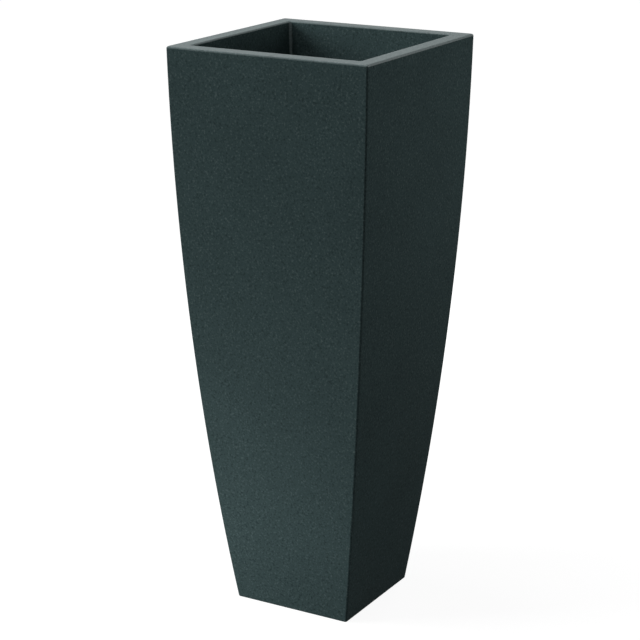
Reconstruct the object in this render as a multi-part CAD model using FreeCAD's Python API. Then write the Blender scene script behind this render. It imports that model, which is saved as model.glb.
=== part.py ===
import FreeCAD, Part

import math
import os

from FreeCAD import Vector

# Tall square flower pot, in millimetres. The moulded shell tapers from a broad rim to a narrow
# foot with gently bowed walls, and its rim turns in and down as a hollow collar with a ledge.
# A planting liner hangs from that ledge by its flange and lifts out by two folding handles.
# Origin: centre of the foot on the ground, +Z up, walls square to X and Y.

# Shell
pot_height = 1000.0
rim_width = 380.0
foot_width = 223.0
wall_bow = 15.5              # how far each wall stands out from a straight taper, halfway up
wall_thickness = 5.0
corner_radius = 5.0
rim_breadth = 29.0
rim_edge_radius = 3.5

# Collar inside the rim, and the ledge that carries the liner
collar_depth = 75.0
collar_draft = 3.0           # degrees
mouth_corner_radius = 12.0
mouth_edge_radius = 3.0
ledge_breadth = 14.0

# Foot
foot_edge_radius = 2.0
foot_ring_breadth = 20.0
recess_depth = 12.0
recess_draft = 20.0          # degrees
recess_corner_radius = 10.0
drain_radius = 12.0
drain_boss_breadth = 7.0
drain_boss_height = 6.0

# Push-in drain plug in the foot
plug_clearance = 0.08
plug_head_overlap = 8.0
plug_head_thickness = 4.0
plug_tip_length = 4.0
grip_bar_length = 26.0
grip_bar_breadth = 5.0
grip_bar_height = 4.5
seal_thickness = 2.0
seal_clearance = 0.1
seal_overlap = 5.5

# Planting liner
liner_thickness = 3.0
liner_depth = 330.0
liner_draft = 3.0            # degrees
liner_corner_radius = 18.0
liner_flange_gap = 2.0
liner_wall_gap = 2.5
lip_height = 8.0
lip_thickness = 3.0
sump_depth = 55.0
step_breadth = 8.0
overflow_drop = 9.0
overflow_length = 18.0
overflow_breadth = 8.0
overflow_spread = 80.0

# Drainage grid
grid_thickness = 4.0
grid_gap = 1.0
grid_margin = 14.0
grid_slot_length = 56.0
grid_slot_breadth = 6.0
grid_bar = 11.0
grid_skirt_height = 6.0
grid_skirt_thickness = 3.0

# Folding handles
handle_span = 104.0
handle_over_rim = 12.0
handle_bend_radius = 18.0
arm_breadth = 9.0
arm_thickness = 6.0
grip_length = 62.0
grip_radius = 7.0
eye_radius = 4.5
pivot_radius = 2.5
pivot_clearance = 0.08
pivot_height = 8.0
ear_thickness = 5.0
ear_gap = 0.5
ear_rim = 3.0
rest_gap = 0.3
rest_length = 2.0
eye_gap = 3.0

# Heights and half widths that several pieces share
ledge_top = pot_height - collar_depth
ledge_underside = ledge_top - wall_thickness
rim_half = rim_width / 2
foot_half = foot_width / 2
mouth_half = rim_half - rim_breadth
ledge_half = mouth_half - collar_depth * math.tan(math.radians(collar_draft))
ledge_opening_half = ledge_half - ledge_breadth
recess_half = foot_half - foot_ring_breadth
floor_top = recess_depth + wall_thickness
flange_top = ledge_top + liner_thickness
flange_half = ledge_half - liner_flange_gap
tub_half = ledge_opening_half - liner_wall_gap
liner_floor = ledge_top - liner_depth
step_top = liner_floor + sump_depth
step_underside = step_top - liner_thickness
pivot_x = flange_half - lip_thickness - eye_gap - eye_radius
pivot_z = flange_top + pivot_height
handle_reach = pot_height + handle_over_rim - pivot_z
past = 1.0                   # how far a cutting solid runs past the face it cuts


def wall_circle():
    """Centre (x, z) and radius of the arc that the +X wall follows from the foot to the rim."""
    lean = rim_half - foot_half
    chord = math.hypot(lean, pot_height)
    radius = (chord ** 2 / 4 + wall_bow ** 2) / (2 * wall_bow)
    inward = radius - wall_bow
    centre_x = (rim_half + foot_half) / 2 - inward * pot_height / chord
    centre_z = pot_height / 2 + inward * lean / chord
    return centre_x, centre_z, radius


def wall_half(z, inset=0.0):
    """Half width of the shell at a height, on a surface that lies inset from its outer face."""
    centre_x, centre_z, radius = wall_circle()
    return centre_x + math.sqrt((radius - inset) ** 2 - (z - centre_z) ** 2)


def upright_edges(shape):
    """The four corner edges of a block, which climb from its lower to its upper face."""
    box = shape.BoundBox
    return [edge for edge in shape.Edges if edge.BoundBox.ZLength > 0.9 * box.ZLength]


def round_corners(block, radius):
    return block.makeFillet(radius, upright_edges(block))


def bowed_block(low, high, inset):
    """Square block between two heights whose sides follow the bowed wall."""
    middle = (low + high) / 2
    x_low, x_middle, x_high = (wall_half(z, inset) for z in (low, middle, high))
    right = Part.Arc(Vector(x_low, 0, low), Vector(x_middle, 0, middle), Vector(x_high, 0, high))
    left = Part.Arc(Vector(-x_high, 0, high), Vector(-x_middle, 0, middle), Vector(-x_low, 0, low))
    floor = Part.LineSegment(Vector(-x_low, 0, low), Vector(x_low, 0, low))
    roof = Part.LineSegment(Vector(x_high, 0, high), Vector(-x_high, 0, high))
    outline = Part.Wire([side.toShape() for side in (floor, right, roof, left)])
    slab = Part.Face(outline).extrude(Vector(0, 2 * rim_width, 0))
    slab.translate(Vector(0, -rim_width, 0))
    turned = slab.copy()
    turned.rotate(Vector(0, 0, 0), Vector(0, 0, 1), 90)
    return slab.common(turned)


def tapered_block(low, half_low, high, half_high, radius):
    """Square block with straight drafted sides and rounded corners."""
    block = Part.makeWedge(-half_low, low, -half_low, -half_high, -half_high,
                           half_low, high, half_low, half_high, half_high)
    block.rotate(Vector(0, 0, 0), Vector(1, 0, 0), 90)
    return round_corners(block, radius)


def upright_cylinder(radius, low, high):
    return Part.makeCylinder(radius, high - low, Vector(0, 0, low))


def cross_cylinder(radius, x, y_from, y_to, z):
    """Cylinder whose axis runs along Y."""
    return Part.makeCylinder(radius, y_to - y_from, Vector(x, y_from, z), Vector(0, 1, 0))


def centred_box(length, breadth, low, high, x=0.0, y=0.0):
    return Part.makeBox(length, breadth, high - low, Vector(x - length / 2, y - breadth / 2, low))


def edges_at(shape, z, keep):
    """Edges that lie flat at a height and whose middle passes the keep test."""
    flat = [edge for edge in shape.Edges
            if edge.BoundBox.ZLength < 1e-4 and abs(edge.BoundBox.ZMin - z) < 1e-4]
    return [edge for edge in flat if keep(edge.BoundBox.Center)]


def reach_from_axis(point):
    """Distance from the pot's axis, measured square to the walls."""
    return max(abs(point.x), abs(point.y))


def shell():
    """Moulded skin: bowed walls, flat rim, collar with its ledge, and a recessed foot."""
    body = round_corners(bowed_block(0, pot_height, 0), corner_radius)
    hollow = bowed_block(wall_thickness, pot_height - wall_thickness, wall_thickness)

    shrink = math.tan(math.radians(recess_draft))
    recess = tapered_block(-past, recess_half + past * shrink,
                           recess_depth, recess_half - recess_depth * shrink, recess_corner_radius)
    panel = tapered_block(0, recess_half + wall_thickness,
                          floor_top, recess_half + wall_thickness - floor_top * shrink,
                          recess_corner_radius)
    boss = upright_cylinder(drain_radius + drain_boss_breadth, 0, floor_top + drain_boss_height)

    collar_half_low = ledge_half + wall_thickness
    collar_half_high = mouth_half + wall_thickness
    collar = tapered_block(ledge_underside, collar_half_low, pot_height, collar_half_high,
                           mouth_corner_radius + wall_thickness)
    for solid in (panel, boss, collar):
        hollow = hollow.cut(solid)

    mouth = tapered_block(ledge_top, ledge_half, pot_height, mouth_half, mouth_corner_radius)
    ledge_opening = tapered_block(ledge_underside - past, ledge_opening_half,
                                  ledge_top + past, ledge_opening_half, mouth_corner_radius)
    drain = upright_cylinder(drain_radius, 0, floor_top + drain_boss_height + past)
    for solid in (hollow, mouth, ledge_opening, recess, drain):
        body = body.cut(solid)

    between = (rim_half + mouth_half) / 2
    body = body.makeFillet(rim_edge_radius,
                           edges_at(body, pot_height, lambda p: reach_from_axis(p) > between))
    body = body.makeFillet(mouth_edge_radius,
                           edges_at(body, pot_height, lambda p: reach_from_axis(p) < between))
    ring_middle = foot_half - foot_ring_breadth / 2
    return body.makeFillet(foot_edge_radius,
                           edges_at(body, 0, lambda p: reach_from_axis(p) > ring_middle))


def plug():
    """Push-in stopper under the drain: head with a grip bar below the seat, shank in the boss."""
    head_top = recess_depth - seal_thickness
    head_bottom = head_top - plug_head_thickness
    tip = floor_top + drain_boss_height + plug_tip_length
    stopper = upright_cylinder(drain_radius + plug_head_overlap, head_bottom, head_top)
    stopper = stopper.fuse(upright_cylinder(drain_radius - plug_clearance, head_top, tip))
    bar = centred_box(grip_bar_length, grip_bar_breadth, head_bottom - grip_bar_height, head_bottom + past)
    return stopper.fuse(round_corners(bar, grip_bar_breadth / 2.2)).removeSplitter()


def plug_seal():
    """Flat rubber ring between the plug's head and its seat."""
    low = recess_depth - seal_thickness
    ring = upright_cylinder(drain_radius + seal_overlap, low, recess_depth)
    inner = drain_radius - plug_clearance + seal_clearance
    return ring.cut(upright_cylinder(inner, low - past, recess_depth + past))


def narrowed(half, drop):
    """Half width of a liner wall after it has run down a given drop."""
    return half - drop * math.tan(math.radians(liner_draft))


def tub(inset, floor, step, roof):
    """The liner's tub as a solid: a drafted box that steps in above the sump."""
    radius = liner_corner_radius - inset
    upper = tapered_block(step, narrowed(tub_half, ledge_top - step) - inset,
                          roof, narrowed(tub_half, ledge_top - roof) - inset, radius)
    sump = tapered_block(floor, narrowed(tub_half, ledge_top - floor) - step_breadth - inset,
                         step, narrowed(tub_half, ledge_top - step) - step_breadth - inset, radius)
    return upper.fuse(sump)


def overflow_slot(y):
    """Cutter for one overflow slot, which passes through the liner's sump on both X sides."""
    high = step_underside - overflow_drop
    return centred_box(2 * rim_width, overflow_length, high - overflow_breadth, high, y=y)


def handle_ear(side):
    """Upright lug on the flange, with the hole that one of a handle's pivots turns in."""
    inner = handle_span / 2 + arm_breadth / 2 + ear_gap
    outer = inner + ear_thickness
    radius = pivot_radius + ear_rim
    y_from, y_to = (inner, outer) if side > 0 else (-outer, -inner)
    ear = centred_box(2 * radius, ear_thickness, flange_top - liner_thickness / 2, pivot_z,
                      pivot_x, side * (inner + outer) / 2)
    ear = ear.fuse(cross_cylinder(radius, pivot_x, y_from, y_to, pivot_z))
    hole = cross_cylinder(pivot_radius + pivot_clearance, pivot_x, y_from - past, y_to + past, pivot_z)
    return ear, hole


def handle_rest(side):
    """Small block on the flange that a folded handle's arm lies on."""
    inner_edge = tub_half - liner_thickness
    return centred_box(rest_length, arm_breadth, flange_top - liner_thickness / 2,
                       pivot_z - arm_thickness / 2 - rest_gap,
                       inner_edge + rest_length / 2, side * handle_span / 2)


def liner():
    """Drop-in tub that holds the soil, with its flange, sump, overflow slots and handle ears."""
    flange = tapered_block(ledge_top, flange_half, ledge_top + lip_height, flange_half, mouth_corner_radius)
    flange = flange.cut(tapered_block(flange_top, flange_half - lip_thickness, ledge_top + lip_height + past,
                                      flange_half - lip_thickness, mouth_corner_radius - lip_thickness))
    body = flange.fuse(tub(0, liner_floor, step_underside, ledge_top + liner_thickness / 2))
    body = body.cut(tub(liner_thickness, liner_floor + liner_thickness, step_top, flange_top + past))
    for side in (1, -1):
        body = body.cut(overflow_slot(side * overflow_spread / 2))
    for turn in (0, 180):
        for side in (1, -1):
            ear, hole = handle_ear(side)
            rest = handle_rest(side)
            for solid in (ear, hole, rest):
                solid.rotate(Vector(0, 0, 0), Vector(0, 0, 1), turn)
            body = body.fuse(ear).cut(hole).fuse(rest)
    return body.removeSplitter()


def grid():
    """Slotted plate that keeps soil out of the sump and lies on the liner's step."""
    half = narrowed(tub_half, ledge_top - step_top) - liner_thickness - grid_gap
    radius = liner_corner_radius - liner_thickness - grid_gap
    plate_top = step_top + grid_thickness
    plate = tapered_block(step_top, half, plate_top, half, radius)
    skirt_half = half - step_breadth - grid_gap
    skirt = tapered_block(step_top - grid_skirt_height, skirt_half, step_top + past, skirt_half, radius)
    inner_half = skirt_half - grid_skirt_thickness
    skirt = skirt.cut(tapered_block(step_top - grid_skirt_height - past, inner_half, step_top + 2 * past,
                                    inner_half, radius - grid_skirt_thickness))
    plate = plate.fuse(skirt)

    field = inner_half - grid_margin
    columns = int((2 * field + grid_bar) // (grid_slot_length + grid_bar))
    rows = int((2 * field + grid_bar) // (grid_slot_breadth + grid_bar))
    cutters = []
    for column in range(columns):
        x = (column - (columns - 1) / 2) * (grid_slot_length + grid_bar)
        for row in range(rows):
            y = (row - (rows - 1) / 2) * (grid_slot_breadth + grid_bar)
            cutters.append(centred_box(grid_slot_length, grid_slot_breadth,
                                       step_top - past, plate_top + past, x, y))
    return plate.cut(Part.makeCompound(cutters)).removeSplitter()


def handle_plate(reach, half, start, radius, thickness):
    """Flat plate that lies from the pivot line out to a reach, with its two far corners rounded."""
    plate = centred_box(reach + start, 2 * half, -thickness / 2, thickness / 2, (start - reach) / 2)
    far = [edge for edge in upright_edges(plate) if edge.BoundBox.XMax < -reach / 2]
    return plate.makeFillet(radius, far)


def handle(turn):
    """U-shaped lifting handle, folded flat over the liner's mouth, with a thick round grip."""
    side_step = arm_breadth / 2
    half_span = handle_span / 2
    body = handle_plate(handle_reach + side_step, half_span + side_step, 0,
                        handle_bend_radius + side_step, arm_thickness)
    body = body.cut(handle_plate(handle_reach - side_step, half_span - side_step, past,
                                 handle_bend_radius - side_step, arm_thickness + 2 * past))

    body = body.fuse(cross_cylinder(grip_radius, -handle_reach, -grip_length / 2, grip_length / 2, 0))

    outer = half_span + side_step
    for side in (1, -1):
        eye_from, eye_to = sorted((side * (outer - arm_breadth), side * outer))
        pin_from, pin_to = sorted((side * half_span, side * (outer + ear_gap + ear_thickness)))
        body = body.fuse(cross_cylinder(eye_radius, 0, eye_from, eye_to, 0))
        body = body.fuse(cross_cylinder(pivot_radius, 0, pin_from, pin_to, 0))
    body = body.removeSplitter()
    body.translate(Vector(pivot_x, 0, pivot_z))
    body.rotate(Vector(0, 0, 0), Vector(0, 0, 1), turn)
    return body


pieces = {
    "outer_shell": shell(),
    "base_plug": plug(),
    "base_plug_seal": plug_seal(),
    "planting_liner": liner(),
    "drainage_grid": grid(),
    "right_lift_handle": handle(0),
    "left_lift_handle": handle(180),
}

os.makedirs("parts", exist_ok=True)
for name, shape in pieces.items():
    print(f"{name}: {len(shape.Solids)} solid, valid {shape.isValid()}, {shape.Volume / 1000:.1f} cm3")
    shape.exportStep(f"parts/{name}.step")
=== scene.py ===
import math

import bmesh
import bpy
from mathutils import Matrix, Vector


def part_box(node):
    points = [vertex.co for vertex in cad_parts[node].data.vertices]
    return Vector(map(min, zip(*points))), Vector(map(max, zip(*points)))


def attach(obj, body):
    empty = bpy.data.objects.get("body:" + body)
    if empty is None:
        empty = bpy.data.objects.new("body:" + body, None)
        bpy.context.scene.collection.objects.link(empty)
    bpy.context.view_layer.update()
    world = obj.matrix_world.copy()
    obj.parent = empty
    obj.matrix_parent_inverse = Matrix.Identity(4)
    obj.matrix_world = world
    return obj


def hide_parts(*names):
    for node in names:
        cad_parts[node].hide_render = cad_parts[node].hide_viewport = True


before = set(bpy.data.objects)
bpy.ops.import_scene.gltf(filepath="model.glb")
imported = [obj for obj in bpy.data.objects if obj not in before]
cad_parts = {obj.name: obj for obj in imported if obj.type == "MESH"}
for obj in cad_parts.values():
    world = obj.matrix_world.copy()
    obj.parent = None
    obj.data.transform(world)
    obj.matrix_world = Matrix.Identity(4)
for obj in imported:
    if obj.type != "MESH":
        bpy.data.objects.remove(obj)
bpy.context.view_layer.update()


# Outer shell: the pot itself, one skin of rotation-moulded polyethylene with the mould's matt grain, and
# smoother on the rim and in the collar's corners. Its bowed walls narrow to a recessed foot with a drain. At
# the top it turns in as a flat rim and down as a drafted collar, which ends in the ledge for the liner.
pot_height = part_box("outer_shell")[1].z
rim_half = 0.190
foot_half = 0.1115
wall_bow = 0.0155
wall_thickness = 0.005
corner_radius = 0.0035
fold_radius = 0.0006
rim_edge_radius = 0.0035
mouth_half = 0.161
mouth_corner_radius = 0.005
mouth_edge_radius = 0.003
ledge_top = 0.925
ledge_half = mouth_half - (pot_height - ledge_top) * math.tan(math.radians(3))
ledge_breadth = 0.014
ledge_edge_radius = 0.0012
foot_edge_radius = 0.002
recess_half = foot_half - 0.020
recess_depth = 0.012
recess_slope = math.tan(math.radians(20))
recess_corner_radius = 0.010
drain_radius = 0.012
boss_radius = 0.019
boss_height = 0.006
shell_colour = (0.0385, 0.0620, 0.0630)
shell_dark_speck = (0.025, 0.0405, 0.041)
shell_pale_speck = (0.068, 0.098, 0.098)


def node(tree, kind, feeds=None, **settings):
    """Adds a node to a tree. Feeds maps an input's name or number to a value or another node's output."""
    made = tree.nodes.new(kind)
    for name, value in settings.items():
        setattr(made, name, value)
    for name, value in (feeds or {}).items():
        if isinstance(value, bpy.types.NodeSocket):
            tree.links.new(value, made.inputs[name])
        else:
            made.inputs[name].default_value = value
    return made


def calc(tree, operation, *values):
    """Output of a math node on numbers or other nodes' outputs."""
    return node(tree, "ShaderNodeMath", dict(enumerate(values)), operation=operation).outputs[0]


def grained_plastic(name, colour, dark_speck, pale_speck, roughness, specular, speck_size, grain_depth):
    """Moulded plastic: a slow drift of tone, pigment specks, and a grain that also varies the gloss."""
    material = bpy.data.materials.new(name)
    material.use_nodes = True
    tree = material.node_tree
    shader = tree.nodes["Principled BSDF"]
    # The noise is turned askew, because a wall that lies along its lattice shows bands.
    askew = (0.6, 0.4, 0.9)
    place = node(tree, "ShaderNodeTexCoord").outputs["Object"]
    place = node(tree, "ShaderNodeMapping", {"Vector": place, "Rotation": askew}).outputs["Vector"]

    specks = node(tree, "ShaderNodeTexNoise", {"Vector": place, "Scale": 1 / speck_size, "Detail": 2.0,
                                               "Roughness": 0.6}).outputs["Fac"]
    tone = node(tree, "ShaderNodeValToRGB", {"Fac": specks})
    ramp = tone.color_ramp
    ramp.elements[0].position = 0.34
    ramp.elements[0].color = (*dark_speck, 1)
    ramp.elements[1].position = 0.68
    ramp.elements[1].color = (*pale_speck, 1)
    for position in (0.44, 0.57):
        ramp.elements.new(position).color = (*colour, 1)

    drift = node(tree, "ShaderNodeTexNoise", {"Vector": place, "Scale": 7.0, "Detail": 4.0}).outputs["Fac"]
    drift = node(tree, "ShaderNodeMapRange", {"Value": drift, "From Min": 0.3, "From Max": 0.7,
                                              "To Min": 0.94, "To Max": 1.06}).outputs["Result"]
    tinted = node(tree, "ShaderNodeMix", {0: 1.0, 6: tone.outputs["Color"], 7: drift},
                  data_type="RGBA", blend_type="MULTIPLY")
    tree.links.new(tinted.outputs[2], shader.inputs["Base Color"])

    grain = node(tree, "ShaderNodeTexNoise", {"Vector": place, "Scale": 0.6 / speck_size, "Detail": 3.0,
                                              "Roughness": 0.65}).outputs["Fac"]
    gloss = node(tree, "ShaderNodeMapRange", {"Value": grain, "From Min": 0.3, "From Max": 0.7,
                                              "To Min": roughness - 0.05, "To Max": roughness + 0.05})
    tree.links.new(gloss.outputs["Result"], shader.inputs["Roughness"])
    shader.inputs["Specular IOR Level"].default_value = specular
    bump = node(tree, "ShaderNodeBump", {"Height": grain, "Strength": 0.5, "Distance": grain_depth})
    tree.links.new(bump.outputs["Normal"], shader.inputs["Normal"])
    return material


def shape_tree(name, result, inputs):
    """New tree with a geometry output, and inputs given as a map from name to kind of socket.
    Returns the tree and the sockets of its inputs."""
    tree = bpy.data.node_groups.new(name, "GeometryNodeTree")
    for label, kind in inputs.items():
        tree.interface.new_socket(label, in_out="INPUT", socket_type="NodeSocket" + kind)
    tree.interface.new_socket(result, in_out="OUTPUT", socket_type="NodeSocketGeometry")
    return tree, node(tree, "NodeGroupInput").outputs


def filleted(tree, curve, radius, count):
    """Output of a curve whose bends are rounded to a radius, in a number of steps."""
    feeds = {"Curve": curve, "Radius": radius, "Count": count, "Limit Radius": True}
    return node(tree, "GeometryNodeFilletCurve", feeds, mode="POLY").outputs[0]


def rounded_outline(tree, mesh, count):
    """Output of the curve along a mesh's edges, each bend rounded to its point's attribute edge_round."""
    radius = node(tree, "GeometryNodeInputNamedAttribute", {"Name": "edge_round"}).outputs["Attribute"]
    curve = node(tree, "GeometryNodeMeshToCurve", {"Mesh": mesh}).outputs[0]
    return filleted(tree, curve, radius, count)


def finish_tree(tree, geometry, material):
    """Ends a tree: its geometry is made real, gets its material and goes to the output."""
    real = node(tree, "GeometryNodeRealizeInstances", {"Geometry": geometry}).outputs[0]
    coated = node(tree, "GeometryNodeSetMaterial", {"Geometry": real, "Material": material}).outputs[0]
    node(tree, "NodeGroupOutput", {0: coated})
    return tree


def square_ring_loft():
    """Tree that lofts a closed outline round the pot's axis: a skin of square rings with rounded corners.
    Each outline point has a ring's half width in X, its height in Z, and the attributes corner, which is
    the radius of the ring's corners, and edge_round."""
    tree, given = shape_tree("square ring loft", "Skin", {
        "Outline": "Geometry", "Corner Segments": "Int", "Edge Segments": "Int", "Material": "Material"})
    corner = node(tree, "GeometryNodeInputNamedAttribute", {"Name": "corner"}).outputs["Attribute"]
    outline = rounded_outline(tree, given["Outline"], given["Edge Segments"])
    rings = node(tree, "GeometryNodeAttributeDomainSize", {"Geometry": outline}, component="CURVE")
    rings = rings.outputs["Point Count"]
    per_corner = calc(tree, "ADD", given["Corner Segments"], 1.0)
    spokes = calc(tree, "MULTIPLY", per_corner, 4.0)
    rail = node(tree, "GeometryNodeCurvePrimitiveCircle", {"Resolution": rings}).outputs[0]
    hoop = node(tree, "GeometryNodeCurvePrimitiveCircle", {"Resolution": spokes}).outputs[0]
    skin = node(tree, "GeometryNodeCurveToMesh", {"Curve": rail, "Profile Curve": hoop}).outputs[0]

    index = calc(tree, "ADD", node(tree, "GeometryNodeInputIndex").outputs[0], 0.5)
    ring = calc(tree, "FLOOR", calc(tree, "DIVIDE", index, spokes))
    spoke = calc(tree, "FLOORED_MODULO", index, spokes)
    quarter = calc(tree, "FLOOR", calc(tree, "DIVIDE", spoke, per_corner))
    step = calc(tree, "FLOOR", calc(tree, "FLOORED_MODULO", spoke, per_corner))
    share = calc(tree, "DIVIDE", step, given["Corner Segments"])
    turn = calc(tree, "MULTIPLY", calc(tree, "ADD", quarter, share), math.pi / 2)
    diagonal = calc(tree, "MULTIPLY", calc(tree, "ADD", quarter, 0.5), math.pi / 2)

    place = node(tree, "GeometryNodeInputPosition").outputs[0]
    place = node(tree, "GeometryNodeSampleIndex", {"Geometry": outline, "Value": place, "Index": ring},
                 data_type="FLOAT_VECTOR").outputs[0]
    place = node(tree, "ShaderNodeSeparateXYZ", {"Vector": place}).outputs
    radius = node(tree, "GeometryNodeSampleIndex", {"Geometry": outline, "Value": corner, "Index": ring},
                  data_type="FLOAT").outputs[0]
    radius = calc(tree, "MINIMUM", radius, place["X"])
    flat = calc(tree, "MULTIPLY", calc(tree, "SUBTRACT", place["X"], radius), math.sqrt(2))
    x, y = (calc(tree, "MULTIPLY_ADD", flat, calc(tree, way, diagonal),
                 calc(tree, "MULTIPLY", radius, calc(tree, way, turn))) for way in ("COSINE", "SINE"))
    target = node(tree, "ShaderNodeCombineXYZ", {"X": x, "Y": y, "Z": place["Z"]}).outputs[0]
    skin = node(tree, "GeometryNodeSetPosition", {"Geometry": skin, "Position": target}).outputs[0]
    skin = node(tree, "GeometryNodeMergeByDistance", {"Geometry": skin, "Distance": 1e-6}).outputs[0]
    # An outline that begins and ends on the axis leaves a lone edge along it, which is taken out.
    faces = node(tree, "GeometryNodeInputMeshEdgeNeighbors").outputs[0]
    loose = node(tree, "FunctionNodeCompare", {2: faces, 3: 0}, data_type="INT", operation="EQUAL")
    skin = node(tree, "GeometryNodeDeleteGeometry", {"Geometry": skin, "Selection": loose.outputs[0]},
                domain="EDGE", mode="EDGE_FACE").outputs[0]
    return finish_tree(tree, skin, given["Material"])


ring_loft = square_ring_loft()


def shaped(name, mesh, tree, **sizes):
    """Object that runs a mesh through a tree with the given inputs and keeps the result as its mesh."""
    piece = bpy.data.objects.new(name, mesh)
    bpy.context.scene.collection.objects.link(piece)
    step = piece.modifiers.new("shape", "NODES")
    step.node_group = tree
    for socket in tree.interface.items_tree:
        if socket.name in sizes:
            step[socket.identifier] = sizes[socket.name]
    return settled(piece)


def settled(piece):
    """Turns what an object's modifiers make into a plain mesh of its own."""
    drawn = bpy.data.meshes.new_from_object(piece.evaluated_get(bpy.context.evaluated_depsgraph_get()))
    piece.modifiers.clear()
    piece.data = drawn
    return piece


def smoothed(piece, sharp_angle=40):
    """Shades a piece smooth. Flat faces stay flat, and edges above an angle in degrees stay sharp."""
    piece.data.shade_smooth()
    piece.data.set_sharp_from_angle(angle=math.radians(sharp_angle))
    piece.modifiers.new("flat faces", "WEIGHTED_NORMAL").keep_sharp = True
    return settled(piece)


def outlined(name, loops, closed=True, **attributes):
    """Mesh of polylines, each a list of points, with a column of values for each named attribute."""
    points, edges = [], []
    for loop in loops:
        first = len(points)
        points += loop
        sides = len(loop) if closed else len(loop) - 1
        edges += [(first + k, first + (k + 1) % len(loop)) for k in range(sides)]
    mesh = bpy.data.meshes.new(name)
    mesh.from_pydata(points, edges, [])
    for attribute, values in attributes.items():
        mesh.attributes.new(attribute, "FLOAT", "POINT").data.foreach_set("value", values)
    return mesh


def lofted(name, outline, material, corner_segments=8, edge_segments=5):
    """Piece lofted round the axis from (half width, height, corner radius, edge rounding) points."""
    half, height, corner, edge_round = zip(*outline)
    mesh = outlined(name, [[(x, 0, z) for x, z in zip(half, height)]], corner=corner, edge_round=edge_round)
    return shaped(name, mesh, ring_loft, Material=material,
                  **{"Corner Segments": corner_segments, "Edge Segments": edge_segments})


def wall_half(height, inset=0.0):
    """Half width of the pot at a height, on the circular bow from the foot to the rim."""
    lean = rim_half - foot_half
    chord = math.hypot(lean, pot_height)
    radius = (chord ** 2 / 4 + wall_bow ** 2) / (2 * wall_bow)
    inward = radius - wall_bow
    centre = (rim_half + foot_half) / 2 - inward * pot_height / chord
    centre_height = pot_height / 2 + inward * lean / chord
    return centre + math.sqrt((radius - inset) ** 2 - (height - centre_height) ** 2)


shell_plastic = grained_plastic("shell_plastic", shell_colour, shell_dark_speck, shell_pale_speck,
                                roughness=0.60, specular=0.010, speck_size=0.0035, grain_depth=0.0003)
rim_plastic = grained_plastic("rim_plastic", shell_colour, shell_dark_speck, shell_pale_speck,
                              roughness=0.55, specular=0.55, speck_size=0.0035, grain_depth=0.00008)
levels = [pot_height * step / 24 for step in range(1, 24)]
floor_top = recess_depth + wall_thickness
inner_top = pot_height - wall_thickness
inner_levels = (inner_top, *reversed(levels), wall_thickness)
panel_half = recess_half + wall_thickness
collar_back = ledge_half + wall_thickness
ledge_opening = ledge_half - ledge_breadth
shell_outline = [
    (drain_radius, recess_depth, drain_radius, 0.0008),
    (recess_half - recess_depth * recess_slope, recess_depth, recess_corner_radius, 0.002),
    (recess_half, 0, recess_corner_radius, 0.0015),
    (foot_half, 0, corner_radius, foot_edge_radius),
    *((wall_half(z), z, corner_radius, 0) for z in levels),
    (rim_half, pot_height, corner_radius, rim_edge_radius),
    (mouth_half, pot_height, mouth_corner_radius, mouth_edge_radius),
    (ledge_half, ledge_top, mouth_corner_radius, ledge_edge_radius),
    (ledge_opening, ledge_top, mouth_corner_radius, ledge_edge_radius),
    (ledge_opening, ledge_top - wall_thickness, mouth_corner_radius, ledge_edge_radius),
    (collar_back, ledge_top - wall_thickness, mouth_corner_radius + wall_thickness, fold_radius),
    (mouth_half + wall_thickness, inner_top, mouth_corner_radius + wall_thickness, fold_radius),
    *((wall_half(z, wall_thickness), z, fold_radius, 0) for z in inner_levels),
    (panel_half - wall_thickness * recess_slope, wall_thickness, recess_corner_radius, fold_radius),
    (panel_half - floor_top * recess_slope, floor_top, recess_corner_radius, 0.002),
    (boss_radius, floor_top, boss_radius, 0.001),
    (boss_radius, floor_top + boss_height, boss_radius, 0.001),
    (drain_radius, floor_top + boss_height, drain_radius, 0.0008),
]
shell = lofted("pot_shell", shell_outline, shell_plastic, corner_segments=10)
shell.data.materials.append(rim_plastic)
# The rim, and the collar's corners above the ledge, have the smoother finish.
for face in shell.data.polygons:
    on_rim = face.center.z > pot_height - rim_edge_radius
    in_corner = min(abs(face.normal.x), abs(face.normal.y)) > 0.1
    towards_axis = face.normal.xy.dot(face.center.xy) < 0
    face.material_index = int(on_rim or (in_corner and towards_axis and face.center.z > ledge_top))
smoothed(shell)
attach(shell, "shell")
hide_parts("outer_shell")


# Planting liner: the drop-in tub for the soil, injection-moulded from black polypropylene. It hangs by
# its flange from the shell's ledge. Below its step lies the sump, with two overflow slots in each X side,
# and the flange carries four lugs for the handles' pivots, each beside a small rest for a folded arm.
liner_thickness = 0.003
liner_draft = math.tan(math.radians(3))
liner_floor = ledge_top - 0.330
liner_corner_radius = 0.018
tub_half = ledge_opening - 0.0025
step_top = liner_floor + 0.055
step_breadth = 0.008
flange_half = ledge_half - 0.002
flange_corner_radius = 0.012
flange_top = ledge_top + liner_thickness
lip_top = ledge_top + 0.008
lip_thickness = 0.003
overflow_top = step_top - liner_thickness - 0.009
overflow_length = 0.018
overflow_breadth = 0.008
overflow_spread = 0.080
handle_span = 0.104
arm_breadth = 0.009
eye_radius = 0.0045
pivot_radius = 0.0025
pivot_x = flange_half - lip_thickness - 0.003 - eye_radius
pivot_z = flange_top + 0.008
bore_radius = pivot_radius + 0.00008
ear_radius = pivot_radius + 0.003
ear_inner = handle_span / 2 + arm_breadth / 2 + 0.0005
ear_thickness = 0.005
rest_length = 0.002
rest_top = pivot_z - 0.0033


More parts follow.
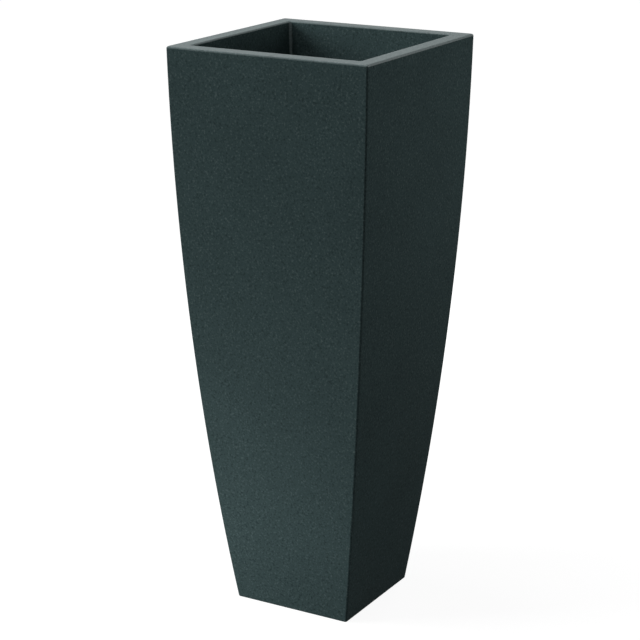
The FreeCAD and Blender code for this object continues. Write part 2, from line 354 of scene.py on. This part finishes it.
def slotted_plate():
    """Tree that fills closed outlines as a plate and cuts rows of round-ended slots into it.
    An outline point has the attribute edge_round, the radius of its corner."""
    tree, given = shape_tree("slotted plate", "Plate", {
        "Outline": "Geometry", "Thickness": "Float", "Columns": "Int", "Rows": "Int",
        "Slot Length": "Float", "Slot Breadth": "Float", "Bar": "Float", "Material": "Material"})
    columns, rows, material = given["Columns"], given["Rows"], given["Material"]
    length, breadth = given["Slot Length"], given["Slot Breadth"]

    def reach(count, size):
        """Distance from the first to the last slot of a row."""
        gaps = calc(tree, "SUBTRACT", count, 1.0)
        return calc(tree, "MULTIPLY", gaps, calc(tree, "ADD", size, given["Bar"]))

    slot_size = {"Width": length, "Height": breadth}
    slot = node(tree, "GeometryNodeCurvePrimitiveQuadrilateral", slot_size).outputs[0]
    slot = filleted(tree, slot, calc(tree, "MULTIPLY", breadth, 0.495), 6)
    field = node(tree, "GeometryNodeMeshGrid", {
        "Size X": reach(columns, length), "Vertices X": columns,
        "Size Y": reach(rows, breadth), "Vertices Y": rows,
    }).outputs[0]
    slots = node(tree, "GeometryNodeInstanceOnPoints", {"Points": field, "Instance": slot}).outputs[0]
    loops = node(tree, "GeometryNodeJoinGeometry")
    tree.links.new(rounded_outline(tree, given["Outline"], 8), loops.inputs[0])
    tree.links.new(slots, loops.inputs[0])
    loops = node(tree, "GeometryNodeRealizeInstances", {"Geometry": loops.outputs[0]}).outputs[0]
    base = node(tree, "GeometryNodeFillCurve", {"Curve": loops}, mode="NGONS").outputs[0]
    base = node(tree, "GeometryNodeSetMaterial", {"Geometry": base, "Material": material}).outputs[0]
    top = node(tree, "GeometryNodeExtrudeMesh", {"Mesh": base, "Offset Scale": given["Thickness"],
                                                 "Individual": False}).outputs[0]
    under = node(tree, "GeometryNodeFlipFaces", {"Mesh": base}).outputs[0]
    plate = node(tree, "GeometryNodeJoinGeometry")
    tree.links.new(top, plate.inputs[0])
    tree.links.new(under, plate.inputs[0])
    plate = node(tree, "GeometryNodeMergeByDistance", {"Geometry": plate.outputs[0], "Distance": 1e-6})
    return finish_tree(tree, plate.outputs[0], material)


plate_tree = slotted_plate()


def rectangle(left, low, right, high, *rounding):
    """Four corners of a rectangle and their four radii, from the lower left corner round."""
    return [(left, low, 0), (right, low, 0), (right, high, 0), (left, high, 0)], rounding


def plate(name, rectangles, thickness, material, **slots):
    """Plate of the given outlines, the later ones holes in the first, that stands up from the XY plane."""
    loops, rounding = zip(*rectangles)
    mesh = outlined(name, loops, edge_round=sum(rounding, ()))
    return shaped(name, mesh, plate_tree, Thickness=thickness, Material=material, **slots)


def gathered(name, placed):
    """One object of several (object, placement) pairs. The objects are used up."""
    whole = bmesh.new()
    for piece, placement in placed:
        part = piece.data.copy()
        part.transform(placement)
        whole.from_mesh(part)
    mesh = bpy.data.meshes.new(name)
    for material in placed[0][0].data.materials:
        mesh.materials.append(material)
    whole.to_mesh(mesh)
    whole.free()
    for piece in {piece for piece, _ in placed}:
        bpy.data.objects.remove(piece)
    made = bpy.data.objects.new(name, mesh)
    bpy.context.scene.collection.objects.link(made)
    return made


def combined(piece, operation, tool):
    """Unites a piece with a tool object, or cuts the tool out of it. The tool is used up."""
    step = piece.modifiers.new("combine", "BOOLEAN")
    step.operation = operation
    step.solver = "MANIFOLD"
    step.object = tool
    settled(piece)
    whole = bmesh.new()
    whole.from_mesh(piece.data)
    bmesh.ops.dissolve_degenerate(whole, dist=1e-5, edges=whole.edges)
    whole.to_mesh(piece.data)
    whole.free()
    bpy.data.objects.remove(tool)


def tub_at(height):
    """Half width of the tub's outer face at a height, above the step."""
    return tub_half - (ledge_top - height) * liner_draft


liner_plastic = grained_plastic(
    "liner_plastic", colour=(0.018, 0.019, 0.020), dark_speck=(0.013, 0.014, 0.015),
    pale_speck=(0.028, 0.029, 0.030), roughness=0.45, specular=0.35, speck_size=0.0016, grain_depth=0.0001)
sump_inset = step_breadth + liner_thickness
step_under = step_top - liner_thickness
floor_inside = liner_floor + liner_thickness
inner_corner = liner_corner_radius - liner_thickness
lip_corner = flange_corner_radius - lip_thickness
liner = lofted("planting_liner_tub", [
    (0, liner_floor, 0, 0),
    (tub_at(liner_floor) - step_breadth, liner_floor, liner_corner_radius, 0.004),
    (tub_at(step_under) - step_breadth, step_under, liner_corner_radius, 0.0015),
    (tub_at(step_under), step_under, liner_corner_radius, 0.002),
    (tub_half, ledge_top, liner_corner_radius, 0.001),
    (flange_half, ledge_top, flange_corner_radius, 0.001),
    (flange_half, lip_top, flange_corner_radius, 0.0012),
    (flange_half - lip_thickness, lip_top, lip_corner, 0.0012),
    (flange_half - lip_thickness, flange_top, lip_corner, 0.001),
    (tub_at(flange_top) - liner_thickness, flange_top, inner_corner, 0.0015),
    (tub_at(step_top) - liner_thickness, step_top, inner_corner, 0.001),
    (tub_at(step_top) - sump_inset, step_top, inner_corner, 0.0015),
    (tub_at(floor_inside) - sump_inset, floor_inside, inner_corner, 0.003),
    (0, floor_inside, 0, 0),
], liner_plastic)

ear_foot = flange_top - liner_thickness / 2 - pivot_z
ear = plate("ear", [rectangle(-ear_radius, ear_foot, ear_radius, ear_radius, 0, 0, ear_radius, ear_radius),
                    rectangle(-bore_radius, -bore_radius, bore_radius, bore_radius, *[bore_radius] * 4)],
            ear_thickness, liner_plastic)
rest = plate("rest", [rectangle(0, -arm_breadth / 2, rest_length, arm_breadth / 2, *[0.0005] * 4)],
             rest_top - flange_top + liner_thickness / 2, liner_plastic)
upright = Matrix.Rotation(math.pi / 2, 4, "X")
lugs = []
for turn in (0, math.pi):
    about = Matrix.Rotation(turn, 4, "Z")
    for y in (-ear_inner, ear_inner + ear_thickness):
        lugs.append((ear, about @ Matrix.Translation((pivot_x, y, pivot_z)) @ upright))
    for y in (-handle_span / 2, handle_span / 2):
        lugs.append((rest, about @ Matrix.Translation((tub_half - liner_thickness, y,
                                                       flange_top - liner_thickness / 2))))
combined(liner, "UNION", gathered("lugs", lugs))

slot_radius = overflow_breadth / 2
slot = plate("slot", [rectangle(-overflow_length / 2, -overflow_breadth / 2, overflow_length / 2,
                                overflow_breadth / 2, *[slot_radius] * 4)], 2 * rim_half, liner_plastic)
along_x = Matrix(((0, 0, 1, -rim_half), (1, 0, 0, 0), (0, 1, 0, overflow_top - slot_radius), (0, 0, 0, 1)))
combined(liner, "DIFFERENCE", gathered("overflow_slots", [
    (slot, Matrix.Translation((0, side * overflow_spread / 2, 0)) @ along_x) for side in (-1, 1)]))
smoothed(liner)
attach(liner, "liner")
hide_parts("planting_liner")


# Drainage grid: the loose slotted plate that lies on the liner's step and keeps soil out of the sump.
# It is moulded in matt black polypropylene, with a skirt below that centres it in the sump's mouth.
grid_thickness = 0.004
grid_gap = 0.001
grid_half = tub_at(step_top) - liner_thickness - grid_gap
grid_corner = inner_corner - grid_gap
grid_edge = 0.0006
grid_columns = 3
grid_rows = 11
grid_slot_length = 0.056
grid_slot_breadth = 0.006
grid_bar = 0.011
skirt_half = grid_half - step_breadth - grid_gap
skirt_thickness = 0.003
skirt_foot = step_top - 0.006
grid_plastic = grained_plastic(
    "grid_plastic", colour=(0.022, 0.023, 0.024), dark_speck=(0.016, 0.017, 0.018),
    pale_speck=(0.033, 0.034, 0.035), roughness=0.60, specular=0.35, speck_size=0.0018, grain_depth=0.0001)
grid = plate("slotted_grid", [rectangle(-grid_half, -grid_half, grid_half, grid_half, *[grid_corner] * 4)],
             grid_thickness, grid_plastic, Columns=grid_columns, Rows=grid_rows, Bar=grid_bar,
             **{"Slot Length": grid_slot_length, "Slot Breadth": grid_slot_breadth})
grid.data.transform(Matrix.Translation((0, 0, step_top)))
edges = grid.modifiers.new("edges", "BEVEL")
edges.width = grid_edge
edges.segments = 2
edges.limit_method = "ANGLE"
edges.angle_limit = math.radians(50)
edges.use_clamp_overlap = False
settled(grid)
skirt = lofted("skirt", [
    (skirt_half - skirt_thickness, skirt_foot, grid_corner - skirt_thickness, grid_edge),
    (skirt_half, skirt_foot, grid_corner, grid_edge),
    (skirt_half, step_top + grid_thickness / 2, grid_corner, 0),
    (skirt_half - skirt_thickness, step_top + grid_thickness / 2, grid_corner - skirt_thickness, 0),
], grid_plastic)
combined(grid, "UNION", skirt)
smoothed(grid, sharp_angle=20)
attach(grid, "grid")
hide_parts("drainage_grid")


# Lifting handles: two bent bars of dark grey polypropylene, moulded in one with their grooved grips and
# pivot pins, which snap into the liner's ears. Folded, they lie flat over the mouth; they swing up to lift.
handle_reach = pot_height + 0.012 - pivot_z
handle_bend_radius = 0.018
arm_thickness = 0.006
arm_edge = 0.0018
grip_half = 0.031
grip_radius = 0.007
groove_depth = 0.0007
groove_pitch = 0.0058
round_section = 1.0


def bent_bar():
    """Tree that sweeps a rounded rectangular section along a path with bends of the radius edge_round."""
    tree, given = shape_tree("bent bar", "Bar", {
        "Path": "Geometry", "Breadth": "Float", "Thickness": "Float", "Edge": "Float",
        "Material": "Material"})
    path = rounded_outline(tree, given["Path"], 12)
    path = node(tree, "GeometryNodeSetCurveNormal", {"Curve": path}, mode="Z_UP").outputs[0]
    section_size = {"Width": given["Breadth"], "Height": given["Thickness"]}
    section = node(tree, "GeometryNodeCurvePrimitiveQuadrilateral", section_size).outputs[0]
    section = filleted(tree, section, given["Edge"], 5)
    sweep = {"Curve": path, "Profile Curve": section, "Fill Caps": True}
    bar = node(tree, "GeometryNodeCurveToMesh", sweep).outputs[0]
    return finish_tree(tree, bar, given["Material"])


def turned(name, outline, material, **segments):
    """Round piece turned about the axis from a list of (radius, height, edge rounding) points."""
    rings = [(radius, height, round_section, edge) for radius, height, edge in outline]
    return lofted(name, rings, material, **segments)


handle_plastic = grained_plastic(
    "handle_plastic", colour=(0.050, 0.055, 0.058), dark_speck=(0.037, 0.041, 0.043),
    pale_speck=(0.072, 0.078, 0.082), roughness=0.38, specular=0.40, speck_size=0.0012, grain_depth=0.00006)
half_span = handle_span / 2
path = outlined("handle_path", [[(0, -half_span, 0), (-handle_reach, -half_span, 0),
                                 (-handle_reach, half_span, 0), (0, half_span, 0)]], closed=False,
                edge_round=(0, handle_bend_radius, handle_bend_radius, 0))
right_handle = shaped("right_lifting_handle", path, bent_bar(), Breadth=arm_breadth,
                      Thickness=arm_thickness, Edge=arm_edge, Material=handle_plastic)
grip_end = grip_half - 0.0025
grooves = [groove_pitch * (k - 4) for k in range(9)]
grip = turned("grip", [
    (0, -grip_half, 0), (0.0055, -grip_half, 0.001), (grip_radius, -grip_end, 0.001),
    *((grip_radius - depth, z + off, 0.0004) for z in grooves
      for depth, off in ((0, -0.0013), (groove_depth, -0.0006), (groove_depth, 0.0006), (0, 0.0013))),
    (grip_radius, grip_end, 0.001), (0.0055, grip_half, 0.001), (0, grip_half, 0),
], handle_plastic, corner_segments=9, edge_segments=2)
ear_outer = ear_inner + ear_thickness
pivot = turned("pivot", [
    (0, half_span - arm_breadth / 2, 0), (eye_radius, half_span - arm_breadth / 2, 0.0006),
    (eye_radius, half_span + arm_breadth / 2, 0.0006), (pivot_radius, half_span + arm_breadth / 2, 0.0002),
    (pivot_radius, ear_outer, 0.0005), (0, ear_outer, 0),
], handle_plastic, corner_segments=7, edge_segments=3)
across = Matrix.Rotation(-math.pi / 2, 4, "X")
combined(right_handle, "UNION", gathered("grip_and_pivots", [
    (grip, Matrix.Translation((-handle_reach, 0, 0)) @ across),
    (pivot, across), (pivot, across.inverted())]))
right_handle.data.transform(Matrix.Translation((pivot_x, 0, pivot_z)))
smoothed(right_handle)
left_handle = bpy.data.objects.new("left_lifting_handle", right_handle.data.copy())
left_handle.data.transform(Matrix.Rotation(math.pi, 4, "Z"))
bpy.context.scene.collection.objects.link(left_handle)
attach(right_handle, "right_handle")
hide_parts("right_lift_handle")
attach(left_handle, "left_handle")
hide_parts("left_lift_handle")


# Drain plug: the push-in stopper in the foot, moulded in black polyethylene. Its shank fits the drain's
# boss, its head stops under the recess, and the bar below the head is there to pull it by.
plug_radius = drain_radius - 0.00008
plug_head_radius = drain_radius + 0.008
seal_thickness = 0.002
plug_head_top = recess_depth - seal_thickness
plug_head_bottom = plug_head_top - 0.004
plug_tip = floor_top + boss_height + 0.004
grip_bar_half = (0.013, 0.0025)
grip_bar_height = 0.0045
plug_plastic = grained_plastic(
    "plug_plastic", colour=(0.030, 0.032, 0.034), dark_speck=(0.022, 0.024, 0.025),
    pale_speck=(0.044, 0.046, 0.048), roughness=0.42, specular=0.40, speck_size=0.0012, grain_depth=0.00006)
plug = turned("drain_plug", [
    (0, plug_head_bottom, 0), (plug_head_radius, plug_head_bottom, 0.001),
    (plug_head_radius, plug_head_top, 0.0006), (plug_radius, plug_head_top, 0.0004),
    (plug_radius, plug_tip, 0.0015), (0, plug_tip, 0),
], plug_plastic, corner_segments=11)
bar_x, bar_y = grip_bar_half
bar = plate("grip_bar", [rectangle(-bar_x, -bar_y, bar_x, bar_y, *[bar_y / 1.1] * 4)],
            grip_bar_height + 0.001, plug_plastic)
bar.data.transform(Matrix.Translation((0, 0, plug_head_bottom - grip_bar_height)))
combined(plug, "UNION", bar)
smoothed(plug)
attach(plug, "base_stopper")
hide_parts("base_plug")


# Plug seal: a flat ring of black rubber on the plug's shank, squeezed between its head and the recess.
seal_inner = plug_radius + 0.0001
seal_outer = drain_radius + 0.0055
seal_rubber = grained_plastic(
    "seal_rubber", colour=(0.020, 0.020, 0.020), dark_speck=(0.014, 0.014, 0.014),
    pale_speck=(0.030, 0.030, 0.030), roughness=0.72, specular=0.30, speck_size=0.0008, grain_depth=0.00004)
seal = turned("plug_seal_ring", [
    (seal_inner, plug_head_top, 0.0003), (seal_outer, plug_head_top, 0.0005),
    (seal_outer, recess_depth, 0.0005), (seal_inner, recess_depth, 0.0003),
], seal_rubber, corner_segments=11, edge_segments=3)
smoothed(seal)
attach(seal, "base_stopper")
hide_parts("base_plug_seal")


# Studio: a white floor that reaches past the view, and the white surround that gloss and glass see.
# The floor takes the lamps' soft shadow of the pot, and near the pot its glow is also dimmed, a painted
# shade that the walls mirror too; away from the pot it goes over to plain white.
floor_reach = 14.0
dimmed_glow_reach = 0.55
white_reach = 1.6
ambient = 0.04


def seen_directly(tree):
    """Output that is 1 for camera, glossy and transmitted rays, and 0 for the diffuse light on the pot."""
    path = node(tree, "ShaderNodeLightPath").outputs
    seen = calc(tree, "MAXIMUM", path["Is Camera Ray"], path["Is Glossy Ray"])
    return calc(tree, "MAXIMUM", seen, path["Is Transmission Ray"])


floor_white = bpy.data.materials.new("floor_white")
floor_white.use_nodes = True
tree = floor_white.node_tree
tree.nodes.clear()
place = node(tree, "ShaderNodeTexCoord").outputs["Object"]
distance = node(tree, "ShaderNodeVectorMath", {0: place}, operation="LENGTH").outputs["Value"]
# Painted shade: within this reach round the pot the floor's glow is dimmed from 1.0 to 0.92.
glow = node(tree, "ShaderNodeMapRange", {
    "Value": distance, "From Min": dimmed_glow_reach, "From Max": white_reach, "To Min": 0.92, "To Max": 1.0,
}).outputs["Result"]
glow = node(tree, "ShaderNodeEmission", {"Strength": calc(tree, "MULTIPLY", glow, seen_directly(tree))})
paint = node(tree, "ShaderNodeBsdfDiffuse", {"Color": (0.16, 0.16, 0.16, 1)})
both = node(tree, "ShaderNodeAddShader", {0: glow.outputs[0], 1: paint.outputs[0]})
node(tree, "ShaderNodeOutputMaterial", {"Surface": both.outputs[0]})

floor_mesh = bpy.data.meshes.new("floor")
floor_corners = [(x * floor_reach, y * floor_reach, 0) for x, y in ((-1, -1), (1, -1), (1, 1), (-1, 1))]
floor_mesh.from_pydata(floor_corners, [], [(0, 1, 2, 3)])
floor_mesh.materials.append(floor_white)
floor = bpy.data.objects.new("floor", floor_mesh)
bpy.context.scene.collection.objects.link(floor)

world = bpy.data.worlds.new("white_surround")
bpy.context.scene.world = world
world.use_nodes = True
tree = world.node_tree
surround = node(tree, "ShaderNodeMapRange", {"Value": seen_directly(tree), "To Min": ambient,
                                             "To Max": 1.0})
background = tree.nodes["Background"]
background.inputs["Color"].default_value = (1, 1, 1, 1)
tree.links.new(surround.outputs["Result"], background.inputs["Strength"])


# Lamps: a high softbox from the left lights the front wall, two low strips lift it towards the foot, and
# one overhead is for the rim. A weak one on the right, at the rim's height, leaves the near corner dark, and
# one behind the pot lights its back wall. The high one isn't mirrored, because it would glare on the rim.
def softbox(name, place, aim, width, height, watts, mirrored=True):
    """Rectangular lamp at a place, turned to face its aim. Gloss shows it only where it is mirrored."""
    lamp = bpy.data.lights.new(name, "AREA")
    lamp.shape = "RECTANGLE"
    lamp.size = width
    lamp.size_y = height
    lamp.energy = watts
    box = bpy.data.objects.new(name, lamp)
    box.visible_glossy = mirrored
    box.location = place
    box.rotation_euler = (Vector(aim) - Vector(place)).to_track_quat("-Z", "Y").to_euler()
    bpy.context.scene.collection.objects.link(box)


softbox("low_front_lamp", (-0.30, -0.50, 0.035), (0, 0, 0.02), 0.80, 0.06, 1.30)
softbox("front_fill_lamp", (-0.32, -0.75, 0.25), (0, 0, 0.1), 0.80, 0.20, 0.95)
softbox("high_left_lamp", (-3.0, -2.1, 2.5), (0, 0, 0.9), 1.9, 1.9, 147, mirrored=False)
softbox("overhead_lamp", (-0.5, -0.1, 2.6), (0, 0, 1.0), 1.0, 1.0, 24)
softbox("rear_lamp", (-0.15, 2.3, 0.55), (0, 0.1, 0.5), 0.7, 0.8, 24)
softbox("right_lamp", (1.25, 0.3, 1.12), (0, 0, 0.8), 0.6, 0.35, 4.6)


# Camera: a long lens a few metres off, a little above the rim, turned to show the front and right walls.
camera_azimuth = math.radians(30.006)
camera_elevation = math.radians(16.736)
camera_distance = 3.4604
camera_aim = Vector((0, 0, 0.5))
aim_right = -0.0050
aim_up = 0.0077
back = Vector((math.sin(camera_azimuth) * math.cos(camera_elevation),
               -math.cos(camera_azimuth) * math.cos(camera_elevation), math.sin(camera_elevation)))
right = Vector((math.cos(camera_azimuth), math.sin(camera_azimuth), 0))
up = back.cross(right)
lens = bpy.data.cameras.new("camera")
lens.lens = 111.02
lens.sensor_width = 36.0
lens.clip_end = 100.0
camera = bpy.data.objects.new("camera", lens)
camera.location = camera_aim + back * camera_distance + right * aim_right + up * aim_up
camera.rotation_euler = (-back).to_track_quat("-Z", "Y").to_euler()
bpy.context.scene.collection.objects.link(camera)
bpy.context.scene.camera = camera
bpy.context.scene.view_settings.view_transform = "Standard"
